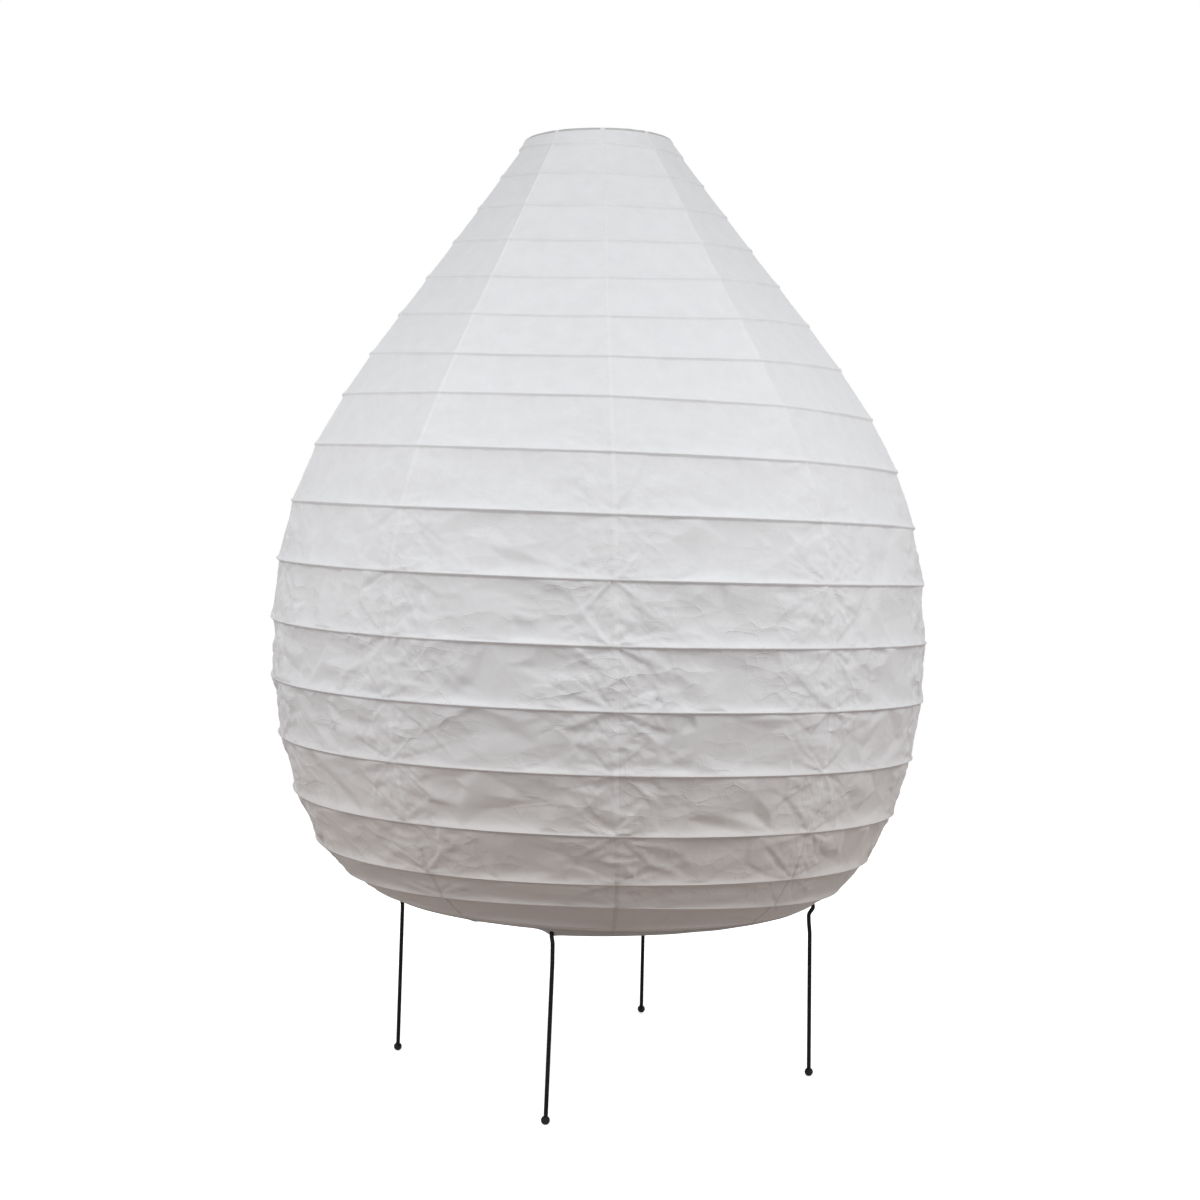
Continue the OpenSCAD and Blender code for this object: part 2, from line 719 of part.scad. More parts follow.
// Moulded housing between the screw cap and the globe.
module bulb_housing() {
    color(white_colour)
        translate([0, 0, bulb_z])
            rotate_extrude($fn = wall_turn)
                polygon([
                    [0, 0], [screw_d / 2 - 0.5, 0], [screw_d / 2 + 0.2, 3],
                    [screw_d / 2 + 3, housing_h * 0.45], [housing_r - 2, housing_h * 0.85],
                    [housing_r, housing_h], [0, housing_h]
                ]);
}

// Round board with the light sources, inside the globe.
module bulb_board() {
    board_r = housing_r - 4;
    color([0.9, 0.9, 0.88])
        translate([0, 0, bulb_z + housing_h])
            union() {
                cylinder(r = board_r, h = 1.6, $fn = body_turn);
                for (k = [0 : 7])
                    rotate([0, 0, 45 * k])
                        translate([board_r * 0.65, 0, 1.5]) cylinder(d = 3, h = 0.9, $fn = 16);
            }
}

// Thin metal cup with the bulb's thread.
module bulb_screw_cap() {
    wall = 0.6;
    color(steel_colour)
        translate([0, 0, holder_z + screw_z])
            difference() {
                cylinder(d = screw_d, h = screw_h, $fn = body_turn);
                translate([0, 0, wall]) cylinder(d = screw_d - 2 * wall, h = screw_h, $fn = body_turn);
            }
}

// Black cone between the screw cap and the contact tip.
module bulb_insulator() {
    low = tip_z + tip_t;
    color([0.08, 0.08, 0.09])
        translate([0, 0, holder_z])
            rotate_extrude($fn = body_turn)
                polygon([[0, low], [5, low], [screw_d / 2 - 2, screw_z], [0, screw_z]]);
}

module bulb_tip() {
    color(steel_colour)
        translate([0, 0, holder_z + tip_z])
            cylinder(r = 4, h = tip_t, $fn = hole_turn);
}

for (j = [0 : panel_count - 1]) paper_panel(j);
for (i = [0 : legs - 1]) leg_wire(i);
for (i = [0 : legs - 1]) ball_foot(i);
bamboo_rib();
wire_ring(top_ring_r, top_ring_z);  // top_ring
top_bar();
wire_ring(bottom_ring_r, ring_h);  // bottom_ring
hub();
leg_grub_screws();
harp();
harp_grub_screws();
harp_nut();
stem();
stem_nuts();
cord_bush();
holder_cap();
holder_shell();
holder_insert();
screw_sleeve();
centre_contact();
bulb_globe();
bulb_housing();
bulb_board();
bulb_screw_cap();
bulb_insulator();
bulb_tip();
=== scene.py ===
"""Looks of the paper lantern floor lamp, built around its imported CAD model.

Metres, +Z up, the front of the lamp faces -Y. Angles round the lamp are
measured from the front towards +X, as in the part's source.
"""
import math

import bpy
import numpy as np
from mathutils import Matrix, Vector
from mathutils.bvhtree import BVHTree
from mathutils.geometry import delaunay_2d_cdt


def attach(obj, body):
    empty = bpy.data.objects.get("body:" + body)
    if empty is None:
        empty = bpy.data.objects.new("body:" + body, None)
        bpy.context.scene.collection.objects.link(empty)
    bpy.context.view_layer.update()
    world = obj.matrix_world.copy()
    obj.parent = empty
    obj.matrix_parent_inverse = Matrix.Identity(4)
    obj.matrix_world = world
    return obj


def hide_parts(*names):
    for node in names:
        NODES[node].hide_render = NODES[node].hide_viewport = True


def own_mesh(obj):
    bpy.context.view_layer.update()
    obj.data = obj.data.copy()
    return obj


MM = 0.001

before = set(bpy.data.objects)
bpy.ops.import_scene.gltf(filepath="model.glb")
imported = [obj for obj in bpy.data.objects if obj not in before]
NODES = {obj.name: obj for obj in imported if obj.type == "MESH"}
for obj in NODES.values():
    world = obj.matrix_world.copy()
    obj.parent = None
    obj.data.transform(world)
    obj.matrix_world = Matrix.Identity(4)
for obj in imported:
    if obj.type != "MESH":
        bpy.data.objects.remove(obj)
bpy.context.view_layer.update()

# ---------------------------------------------------------------- camera
camera_data = bpy.data.cameras.new("camera")
camera = bpy.data.objects.new("camera", camera_data)
bpy.context.scene.collection.objects.link(camera)
camera.location = (0, -2.398, 0.648)
camera.rotation_euler = (math.pi / 2, 0, 0)
camera_data.sensor_width = 36
camera_data.lens = 59.04
camera_data.shift_x = 0.0014
camera_data.shift_y = -0.0578
camera_data.clip_end = 100
bpy.context.scene.camera = camera
bpy.context.scene.view_settings.view_transform = "Standard"

# ---------------------------------------------------------------- sizes, as in the part's source (mm)
LAMP_H, RING_H = 1120, 209
TOP_RING_R, BOTTOM_RING_R = 88, 262
BELLY = np.array([395.0, 512.0])
TOP_LEAN, FOOT_SLOPE = math.radians(35), math.radians(17)
CONE_PULL, SHOULDER_PULL, HIP_PULL, FOOT_PULL = 0.59, 0.44, 0.45, 0.26
GORES = 10
SEAM_ANGLE = 360 / GORES
FIRST_SEAM = 3 - 3 * SEAM_ANGLE
PAPER_T = 0.4
RIB_D, RIB_TURNS = 2.5, 17.5
TOP_CROWDING, FOOT_CROWDING = 0.61, 0.19
RIB_FIRST, RIB_LAST = 7, 2.5
WIRE_R, RING_GAP, GLUE_GAP = 1.5, 0.3, 0.15
FACET_ROOM = 1 / math.cos(math.radians(SEAM_ANGLE / 3 / 2))
TOP_RING_Z = LAMP_H - WIRE_R


def cubic(p, t):
    t = t[:, None]
    return (1 - t) ** 3 * p[0] + 3 * (1 - t) ** 2 * t * p[1] + 3 * (1 - t) * t * t * p[2] + t**3 * p[3]


def shade_outline():
    """Points [radius, height] down the paper's outer face, from the top edge to the bottom edge."""
    skin = WIRE_R + GLUE_GAP + PAPER_T
    top = np.array([(TOP_RING_R + skin * math.cos(TOP_LEAN)) * FACET_ROOM,
                    TOP_RING_Z + skin * math.sin(TOP_LEAN)])
    foot = np.array([(BOTTOM_RING_R + WIRE_R + RING_GAP) * FACET_ROOM + PAPER_T, RING_H])
    cone, hip = top[1] - BELLY[1], BELLY[1] - RING_H
    upper = [top, top + CONE_PULL * cone * np.array([math.sin(TOP_LEAN), -math.cos(TOP_LEAN)]),
             BELLY + [0, SHOULDER_PULL * cone], BELLY]
    lower = [BELLY, BELLY - [0, HIP_PULL * hip],
             foot + FOOT_PULL * hip * np.array([math.cos(FOOT_SLOPE), math.sin(FOOT_SLOPE)]), foot]
    t = np.linspace(0, 1, 41)
    return np.vstack([cubic(upper, t), cubic(lower, t)[1:]])


OUTLINE = shade_outline()
LENGTHS = np.concatenate([[0], np.cumsum(np.linalg.norm(np.diff(OUTLINE, axis=0), axis=1))])
PAPER_LEN = LENGTHS[-1]
TOP_EDGE_Z = OUTLINE[0, 1]


def outline_r(z):
    return np.interp(z, OUTLINE[::-1, 1], OUTLINE[::-1, 0])


def length_at(z):
    return np.interp(z, OUTLINE[::-1, 1], LENGTHS[::-1])


def outline_normal(z):
    """Outward normal of the outline at a height, as (radius part, height part)."""
    d = RIB_D + WIRE_R
    a, b = np.maximum(RING_H, z - d), np.minimum(TOP_EDGE_Z, z + d)
    dr, dz = outline_r(b) - outline_r(a), b - a
    n = np.hypot(dr, dz)
    return dz / n, -dr / n


def taken(u):
    even_from, even_to = 0.46 * RIB_TURNS, 0.8 * RIB_TURNS
    a, b, c = np.minimum(u, even_from), np.maximum(0, u - even_from), np.maximum(0, u - even_to)
    w = RIB_TURNS - even_to
    return (TOP_CROWDING * a + (1 - TOP_CROWDING) * a * a / (2 * even_from) + b
            - (1 - FOOT_CROWDING) * c**3 / (3 * w * w))


FULL_PITCH = (PAPER_LEN - RIB_FIRST - RIB_LAST) / taken(np.array(RIB_TURNS))
FRONT_DIP = np.array([[0, 0.029], [0.11, 0.116], [0.23, 0.232], [0.34, 0.232], [0.42, 0.029],
                      [0.63, 0.015], [0.74, -0.043], [0.86, -0.058], [0.93, -0.261], [1, 0]])
SIDE_LEAN = np.array([[0, -0.029], [0.23, -0.058], [0.34, -0.029], [0.42, 0.058], [0.52, 0.043],
                      [0.63, 0.015], [0.8, 0.015], [1, 0]])


def rib_angle(u):
    return FIRST_SEAM + 360 * u


def rib_z(u):
    a, share = np.radians(rib_angle(u)), u / RIB_TURNS
    z = np.interp(RIB_FIRST + FULL_PITCH * taken(u), LENGTHS, OUTLINE[:, 1])
    return z - FULL_PITCH * (np.interp(share, *FRONT_DIP.T) * np.maximum(0, np.cos(a)) ** 2
                             + np.interp(share, *SIDE_LEAN.T) * np.sin(a))


def round_points(r, degrees, z):
    a = np.radians(degrees)
    return np.stack([r * np.sin(a), -r * np.cos(a), z * np.ones_like(a)], -1) * MM


def smooth(x, low, high):
    t = np.clip((x - low) / (high - low), 0, 1)
    return t * t * (3 - 2 * t)


LEAN, LEAN_TO = 15.5, 300     # mm by which the shade's foot stands higher on the left, and where that ends
GORE_FLATNESS = 0.55          # of the way from a round cone to one with flat sides


def lean(degrees, z=RING_H):
    """Height in mm by which the shade's foot stands higher at this angle."""
    return LEAN * (0.5 - 0.5 * np.sin(np.radians(degrees))) ** 1.6 * (1 - smooth(z, RING_H, LEAN_TO))


def flattened(degrees, z):
    """Factor on the radius: the cone's gores are flatter than a circle."""
    half = math.radians(SEAM_ANGLE / 2)
    local = np.radians((degrees - FIRST_SEAM) % SEAM_ANGLE) - half
    share = GORE_FLATNESS * smooth(TOP_EDGE_Z - z, 4, 34) * smooth(z, 560, 800)
    return 1 + share * (math.cos(half) / np.cos(local) - 1)


def wander(degrees, z):
    """Degrees by which the seams stray from even spacing: closer together on the cone, wider on the belly."""
    belly, cone = smooth(z, 260, 420), smooth(z, 600, 850)
    below_top = 1 - smooth(z, 900, 1100)
    spread = belly * (1.9 * (1 - cone) - 2.7 * cone * below_top)
    return spread * np.sin(np.radians(degrees)) - 0.85 * belly * below_top


def shade_points(r, degrees, z):
    return round_points(r * flattened(degrees, z), degrees + wander(degrees, z), z + lean(degrees, z))


# ---------------------------------------------------------------- numbers that look random, the same each run
def hashed(i, j, seed):
    n = (np.asarray(i).astype(np.int64) * 374761393 + np.asarray(j).astype(np.int64) * 668265263
         + seed * 1442695041) & 0xFFFFFFFF
    n = ((n ^ (n >> 13)) * 1274126177) & 0xFFFFFFFF
    n = ((n ^ (n >> 16)) * 2246822519) & 0xFFFFFFFF
    return ((n ^ (n >> 15)) & 0xFFFFFF) / float(0x1000000)


def lattice(u, v, around, seed):
    """Random values at the corners of the cell that holds (u, v); u repeats after `around` cells."""
    i, j = np.floor(u), np.floor(v)
    fu, fv = u - i, v - j
    i0, i1 = np.mod(i, around), np.mod(i + 1, around)
    return fu, fv, *[hashed(a, b, seed) * 2 - 1 for a, b in ((i0, j), (i1, j), (i0, j + 1), (i1, j + 1))]


def soft_noise(u, v, around, seed):
    fu, fv, a, b, c, d = lattice(u, v, around, seed)
    fu, fv = fu * fu * (3 - 2 * fu), fv * fv * (3 - 2 * fv)
    return (a * (1 - fu) + b * fu) * (1 - fv) + (c * (1 - fu) + d * fu) * fv


# ---------------------------------------------------------------- paper
SEAM_HOLLOW = 2.2             # at a seam the two layers hold the paper further out
UNDER_LIP, OVER_LIP = 3.3, 2.2
LIPS_BY_HEIGHT = np.array([[209, 1], [620, 1], [668, 0.9], [728, 0.76], [790, 0.64], [900, 0.56],
                           [1121, 0.6]])
# mm in which the lip below a rib turns in
UNDER_RUN_BY_HEIGHT = np.array([[209, 2.0], [620, 2.0], [760, 1.5], [1121, 1.5]])
# mm by which the middle of a panel is drawn in between two passes of rib
HOLLOW_BY_HEIGHT = np.array([[209, 8], [420, 8], [650, 7], [800, 5], [1121, 5]])
# above 1, deepest near the lower rib
SAG_BY_HEIGHT = np.array([[209, 1.8], [300, 1.8], [420, 1.5], [560, 1.1], [700, 1]])
SEAM_W = 4.4                  # width of the glued seam strip
CRUMPLED_FROM = 6.6           # turn of the rib below which the paper is crumpled
STRIP_H = 69.0                # height given to the strip of paper between two turns when it is laid flat
CRUMPLE_BY_HEIGHT = np.array([[209, 0.22], [240, 0.34], [265, 0.6], [300, 0.9], [340, 1], [560, 1],
                              [620, 0.8], [665, 0.55], [727, 0.34], [790, 0.16], [860, 0.06], [1121, 0.03]])


def strip_table():
    """Along the strip of paper between two turns of rib: turns, run in mm, radius and height."""
    u = np.linspace(CRUMPLED_FROM - 0.5, RIB_TURNS, 3000)
    upper = rib_z(u)
    lower = np.where(u + 1 <= RIB_TURNS, rib_z(np.minimum(u + 1, RIB_TURNS)), RING_H)
    r = outline_r((upper + lower) / 2)
    run = np.concatenate([[0], np.cumsum(2 * math.pi * (r[1:] + r[:-1]) / 2 * np.diff(u))])
    return u, run, r, length_at(lower) - length_at(upper)


STRIP_U, STRIP_RUN, STRIP_R, STRIP_HEIGHT = strip_table()


def crumple_net():
    """The creases that meet in points: an uneven net of triangles, close together at the seams."""
    rng = np.random.default_rng(5)
    points, heights = [], []
    u = STRIP_U[0]
    while u < RIB_TURNS:
        r, h, x = (np.interp(u, STRIP_U, t) for t in (STRIP_R, STRIP_HEIGHT, STRIP_RUN))
        to_seam = (0.5 - abs((u * GORES) % 1 - 0.5)) * r * math.radians(SEAM_ANGLE)
        spacing = np.interp(to_seam, (0, 22, 60, 110), (8, 10.5, 21, 34)) * rng.uniform(0.75, 1.3)
        for y in (0.0, STRIP_H):
            points.append((x, y))
            heights.append(0)
        n = max(1, int(round(h / spacing / 0.68)))
        for k in range(n):
            points.append((x + rng.uniform(-0.42, 0.42) * spacing,
                           (k + rng.uniform(0.15, 0.85)) / n * STRIP_H))
            heights.append(rng.uniform(-1, 1) * spacing)
        u += spacing * 1.3 / (2 * math.pi * r)
    found = delaunay_2d_cdt([Vector(p) for p in points], [], [], 0, 1e-7)
    where = np.array([tuple(v) for v in found[0]])
    origin = [source[0] if source else 0 for source in found[3]]
    return where, np.array(heights)[origin], np.array([f for f in found[2] if len(f) == 3])


NET, NET_HEIGHT, NET_FACES = crumple_net()
NET_TREE = BVHTree.FromPolygons([(x, y, 0) for x, y in NET], [tuple(map(int, f)) for f in NET_FACES])
FACET_SLOPE, RIDGE, RIDGE_W = 0.15, 0.8, 1.0     # tilt of the facets; height and width in mm of the ridges
RIDGE_ABOVE, VALLEY_BELOW = 0.55, 0.2            # chances at which a crease is a ridge or a valley


def crumples(u, share):
    """Height in mm of the crumpled paper at turns u and shares down the strip."""
    out = np.zeros(u.shape)
    inside = u > STRIP_U[0] + 0.02
    x, y = np.interp(u[inside], STRIP_U, STRIP_RUN), share[inside] * STRIP_H
    down = Vector((0, 0, -1))
    hit = np.array([(NET_TREE.ray_cast((a, b, 1), down)[2] or 0)
                    for a, b in zip(x, np.clip(y, 0.01, STRIP_H - 0.01))])
    corners = NET_FACES[hit]
    p = NET[corners]
    (ax, ay), (bx, by), (cx, cy) = (p[:, k].T for k in range(3))
    area = (bx - ax) * (cy - ay) - (cx - ax) * (by - ay)
    wb = ((x - ax) * (cy - ay) - (cx - ax) * (y - ay)) / area
    wc = ((bx - ax) * (y - ay) - (x - ax) * (by - ay)) / area
    w = np.clip(np.stack([1 - wb - wc, wb, wc], 1), 0, 1)
    total = FACET_SLOPE * (w * NET_HEIGHT[corners]).sum(1)
    for k in range(3):
        i, j = corners[:, (k + 1) % 3], corners[:, (k + 2) % 3]
        chance = hashed(np.minimum(i, j), np.maximum(i, j), 17)
        size = np.where(chance > RIDGE_ABOVE, RIDGE, np.where(chance < VALLEY_BELOW, -RIDGE, 0))
        size = size * (0.4 + 0.6 * hashed(i + j, i * j, 23))
        side = np.linalg.norm(NET[i] - NET[j], axis=1)
        away = w[:, k] * np.abs(area) / side
        ends = smooth(np.minimum(w[:, (k + 1) % 3], w[:, (k + 2) % 3]), 0, 0.22)
        total += size * ends * np.exp(-away / RIDGE_W)
    out[inside] = total
    return out


def crease(x, y, points, sharp, soft, height):
    """A fold along a bent line, steep on one side, that dies away to its ends."""
    best, share, width = np.full(x.shape, 1e9), np.zeros(x.shape), np.zeros(x.shape)
    n = len(points) - 1
    for k in range(n):
        (ax, ay), (bx, by) = points[k], points[k + 1]
        dx, dy = bx - ax, by - ay
        t = np.clip(((x - ax) * dx + (y - ay) * dy) / (dx * dx + dy * dy), 0, 1)
        d = np.hypot(x - ax - t * dx, y - ay - t * dy)
        near = d < best
        best = np.where(near, d, best)
        share = np.where(near, (k + t) / n, share)
        width = np.where(near, np.where((x - ax) * dy - (y - ay) * dx > 0, sharp, soft), width)
    taper = np.sin(np.pi * np.clip(0.12 + 0.88 * share, 0, 1)) ** 0.7
    return height * taper * np.exp(-best / width)


def band_creases(rng, x, y, w, h):
    """The long folds of one band of one panel. x runs across from -w/2, y down from the upper rib."""
    out = np.zeros(x.shape)
    for cx, cy in ((-w / 2, 0), (w / 2, 0), (-w / 2, h), (w / 2, h)):
        sx, sy = (1 if cx < 0 else -1), (1 if cy == 0 else -1)
        for _ in range(rng.integers(3, 6)):
            a, length = math.radians(rng.uniform(9, 56)), rng.uniform(24, 95)
            bend = rng.uniform(-0.35, 0.35)
            start = (cx + sx * rng.uniform(0, 4), cy + sy * rng.uniform(0, 3))
            mid = (start[0] + sx * length * 0.5 * math.cos(a), start[1] + sy * length * 0.5 * math.sin(a))
            end = (mid[0] + sx * length * 0.5 * math.cos(a + bend),
                   mid[1] + sy * length * 0.5 * math.sin(a + bend))
            out += crease(x, y, [start, mid, end], rng.uniform(0.9, 1.6), rng.uniform(4, 11),
                          rng.choice([-1, 1]) * rng.uniform(0.8, 1.9))
    for _ in range(rng.integers(12, 19)):
        cx = rng.choice([-1, 1]) * w / 2 * (1 - rng.beta(1.1, 2.2) * 0.98)
        cy = rng.uniform(0.1, 0.9) * h
        a = math.radians(rng.uniform(2, 38)) * rng.choice([-1, 1])
        length = rng.uniform(12, 45) * rng.choice([1, 2])
        dx, dy = math.cos(a) * length / 2, math.sin(a) * length / 2
        jog = rng.uniform(-0.18, 0.18) * length
        mid = (cx - dy / length * jog * 2, cy + dx / length * jog * 2)
        out += crease(x, y, [(cx - dx, cy - dy), mid, (cx + dx, cy + dy)], rng.uniform(0.9, 1.5),
                      rng.uniform(2.5, 8), rng.choice([-1, 1]) * rng.uniform(0.4, 1.3))
    return out


def passes_of(j):
    return int(math.floor(RIB_TURNS - j / GORES - 1 / GORES + 0.01)) + 1


def levels_of(j, s):
    """Heights of the top edge, each pass of rib and the bottom edge, at shares s across panel j."""
    u = (j + s) / GORES
    rows = [np.full(s.shape, TOP_EDGE_Z - 1.6)] + [rib_z(u + n) for n in range(passes_of(j))]
    return np.array(rows + [np.full(s.shape, float(RING_H))])


# mm from the rib of the rows of points next to it
BELOW_RIB, ABOVE_RIB = (0, 0.8, 1.3, 1.7, 2.1, 2.6, 3.4, 4.8), (5.4, 3.6, 2.2, 1.2, 0.5)
CLOSE_ROWS, WIDE_ROWS = 2.4, 10.0     # mm between the other rows, where the paper is crumpled and where not
MOST_CRUMPLE = 3.4            # mm


def band_rows(h, step):
    """Shares down a band h long: close together at its two ribs."""
    head, tail = [x for x in BELOW_RIB if x < h * 0.4], [h - x for x in ABOVE_RIB if x < h * 0.4]
    last = tail[0] if tail else h
    inner = list(np.linspace(head[-1], last, max(2, int(round((last - head[-1]) / step)) + 1)))
    return np.array(head[:-1] + (inner + tail[1:] if tail else inner[:-1])) / h


def panel_surface(j, s, lift=0.0):
    """Points [row, column] of panel j's outer face at shares s across it, in metres."""
    levels = levels_of(j, s)
    bands = len(levels) - 1
    rows = []
    for k in range(bands):
        h = np.mean(length_at(levels[k + 1]) - length_at(levels[k]))
        step = CLOSE_ROWS if j / GORES + k - 1 > CRUMPLED_FROM else WIDE_ROWS
        rows += [(k, t) for t in band_rows(h, step)]
    rows.append((bands - 1, 1.0))
    b, t = np.array([x[0] for x in rows]), np.array([x[1] for x in rows])[:, None]
    z = levels[b] + t * (levels[b + 1] - levels[b])
    degrees = np.broadcast_to(FIRST_SEAM + SEAM_ANGLE * (j + s), z.shape)
    r, length = outline_r(z), length_at(z)
    up, down = length - length_at(levels[b]), length_at(levels[b + 1]) - length
    h = np.maximum(up + down, 1e-6)
    share = up / h
    # the paper is drawn in between two passes of rib, deepest in the middle of the panel
    across = (1 - (2 * np.clip(s, 0, 1) - 1) ** 2) ** 0.85
    hollow = np.interp(z, *HOLLOW_BY_HEIGHT.T)
    deep = (SEAM_HOLLOW + (hollow - SEAM_HOLLOW) * across) * np.minimum(1, h / FULL_PITCH)
    turns = (j + s) / GORES + b[:, None]
    lips = np.interp(z, *LIPS_BY_HEIGHT.T) * np.minimum(1, h / 40) ** 1.3 * (0.9 + 0.1 * across)
    fading = [lips * (1 + 0.3 * soft_noise((turns + k) * 23, 0.5 + 0 * z, 10**6, 61)) for k in (-1, 0)]
    under = UNDER_LIP * fading[0] * (1 - np.exp(-((up / np.interp(z, *UNDER_RUN_BY_HEIGHT.T)) ** 3)))
    over = OVER_LIP * fading[1] * (1 - np.exp(-((np.maximum(down, 0) / 3.7) ** 1.4)))
    sagged = share ** np.interp(z, *SAG_BY_HEIGHT.T)
    rounded = 2 * sagged * (1 - sagged) + 0.5 * (1 - (2 * sagged - 1) ** 4)
    inward = (under * (1 - share) + over * share
              + np.maximum(deep - (UNDER_LIP + OVER_LIP) / 2 * lips, 0) * rounded)
    strength = np.interp(z, *CRUMPLE_BY_HEIGHT.T)
    w = r * math.radians(SEAM_ANGLE)
    out = crumples((j + s) / GORES + b[:, None] - 1 + 0 * z, share)
    for k in range(bands):
        mine = b == k
        mean_h, width = h[mine].mean(), w[mine].mean()
        if mean_h < 16 or strength[mine].mean() < 0.05:
            continue
        x, y = (s - 0.5)[None, :] * w[mine], up[mine] * mean_h / h[mine]
        folds = band_creases(np.random.default_rng(1000 * j + k + 7), x, y, width, mean_h)
        out[mine] += folds * smooth(np.minimum(s, 1 - s)[None, :] * w[mine], -0.5, 4)
    for side in (0, 1):
        # below each crossing of rib and seam the paper is pulled in, like a fan
        crossing = np.round((j + side) + GORES * (b[:, None] - 1.0))
        aside, size = np.abs(s - side) * w, 1.2 + 1.8 * hashed(crossing, 3, 41)
        out -= size * up / 9 * np.exp(1 - up / 9) * np.exp(-((aside / (9 + 0.9 * up)) ** 2))
    out = MOST_CRUMPLE * np.tanh(out / MOST_CRUMPLE) * strength * smooth(np.minimum(up, down), 0.3, 4)
    distance = lift - inward + out
    n_r, n_z = outline_normal(z)
    edge_row = (b[:, None] == 0) & (t == 0) | (b[:, None] == bands - 1) & (t == 1)
    distance = np.where(edge_row, lift + 0 * z, distance)
    n_r, n_z = np.where(edge_row, 1, n_r), np.where(edge_row, 0, n_z)
    return shade_points(r + distance * n_r, degrees, z + distance * n_z)


def grid_normals(p):
    du, dv = np.gradient(p, axis=1), np.gradient(p, axis=0)
    n = np.cross(du, dv)
    n /= np.linalg.norm(n, axis=2, keepdims=True) + 1e-12
    outward = (n[..., 0] * p[..., 0] + n[..., 1] * p[..., 1]).sum() > 0
    return n if outward else -n


def sheet_faces(grid):
    """Quads between the points of a grid of point numbers."""
    return np.stack([g.ravel() for g in (grid[:-1, :-1], grid[1:, :-1], grid[1:, 1:], grid[:-1, 1:])], 1)


def shell(p, thickness, window, coarser=1):
    """A closed sheet of that thickness whose outer face is the grid p.

    Returns points, groups of faces and the maps of their corners. The inner face has every point
    across, or every second one. The maps lay the two faces side by side in the window (left, right)
    of the unit square.
    """
    rows, columns = p.shape[:2]
    grid = np.arange(rows * columns).reshape(rows, columns)
    source = grid[:, ::coarser]
    inner = grid.size + np.arange(source.size).reshape(source.shape)
    back = (p - grid_normals(p) * thickness).reshape(-1, 3)[source.ravel()]
    left_side = np.stack([grid[1:, 0], grid[:-1, 0], inner[:-1, 0], inner[1:, 0]], 1)
    right_side = np.stack([grid[:-1, -1], grid[1:, -1], inner[1:, -1], inner[:-1, -1]], 1)
    steps = [np.arange(k, columns - coarser + k, coarser) for k in range(coarser + 1)]
    top = np.stack([grid[0, k] for k in steps] + [inner[0, 1:], inner[0, :-1]], 1)
    bottom = np.stack([grid[-1, k] for k in steps[::-1]] + [inner[-1, :-1], inner[-1, 1:]], 1)
    groups = [sheet_faces(grid), sheet_faces(inner)[:, ::-1], np.vstack([left_side, right_side]),
              np.vstack([top, bottom])]
    left, right = window
    gap = (right - left) * 0.02
    width = (right - left) / 2 - 2 * gap
    v, u = np.meshgrid(np.linspace(0.99, 0.01, rows), np.linspace(0, 1, columns), indexing="ij")
    front = np.stack([left + gap + width * u.ravel(), v.ravel()], 1)
    both = np.vstack([front, front[source.ravel()] + [width + 2 * gap, 0]])
    rim = np.vstack([front, (front + np.sign(front - front.mean(0)) * gap * 0.6)[source.ravel()]])
    maps = [at[g.ravel()] for at, g in zip((both, both, rim, rim), groups)]
    return np.vstack([p.reshape(-1, 3), back]), groups, np.vstack(maps)


def make_object(name, points, groups, materials, indices=None, spots=None):
    """An object from points and groups of faces, each an array of faces with the same number of corners."""
    mesh = bpy.data.meshes.new(name)
    corners = np.concatenate([np.ravel(g) for g in groups])
    sizes = np.concatenate([np.full(len(g), np.shape(g)[1]) for g in groups])
    mesh.vertices.add(len(points))
    mesh.vertices.foreach_set("co", np.ascontiguousarray(points, np.float32).ravel())
    mesh.loops.add(len(corners))
    mesh.loops.foreach_set("vertex_index", np.ascontiguousarray(corners, np.int32))
    mesh.polygons.add(len(sizes))
    mesh.polygons.foreach_set("loop_start", np.ascontiguousarray(np.cumsum(sizes) - sizes, np.int32))
    mesh.update(calc_edges=True)
    mesh.polygons.foreach_set("use_smooth", [True] * len(mesh.polygons))
    for m in materials:
        mesh.materials.append(m)
    if indices is not None:
        mesh.polygons.foreach_set("material_index", indices)
    if spots is not None:
        corner_map = mesh.uv_layers.new(name="OFBake")
        corner_map.data.foreach_set("uv", np.ascontiguousarray(spots, np.float32).ravel())
    mesh.validate()
    mesh.update()
    mesh.set_sharp_from_angle(angle=math.radians(60))
    obj = bpy.data.objects.new(name, mesh)
    bpy.context.scene.collection.objects.link(obj)
    return obj


# ---------------------------------------------------------------- materials
def material(name, colour, roughness, metallic=0.0, **inputs):
    """A material with a Principled shader; returns it with its node tree and that shader."""
    m = bpy.data.materials.new(name)
    m.use_nodes = True
    tree = m.node_tree
    shader = tree.nodes["Principled BSDF"]
    shader.inputs["Base Color"].default_value = (*colour, 1)
    shader.inputs["Roughness"].default_value = roughness
    shader.inputs["Metallic"].default_value = metallic
    for key, value in inputs.items():
        shader.inputs[key.replace("_", " ")].default_value = value
    return m, tree, shader


def node(tree, kind, links=None, **values):
    n = tree.nodes.new(kind)
    for key, value in values.items():
        if key in n.inputs:
            n.inputs[key].default_value = value
        else:
            setattr(n, key, value)
    for socket, source in (links or {}).items():
        tree.links.new(source, n.inputs[socket])
    return n


def place(tree, scale=(1, 1, 1)):
    coord = node(tree, "ShaderNodeTexCoord")
    return node(tree, "ShaderNodeMapping", {"Vector": coord.outputs["Object"]}, Scale=scale).outputs[0]


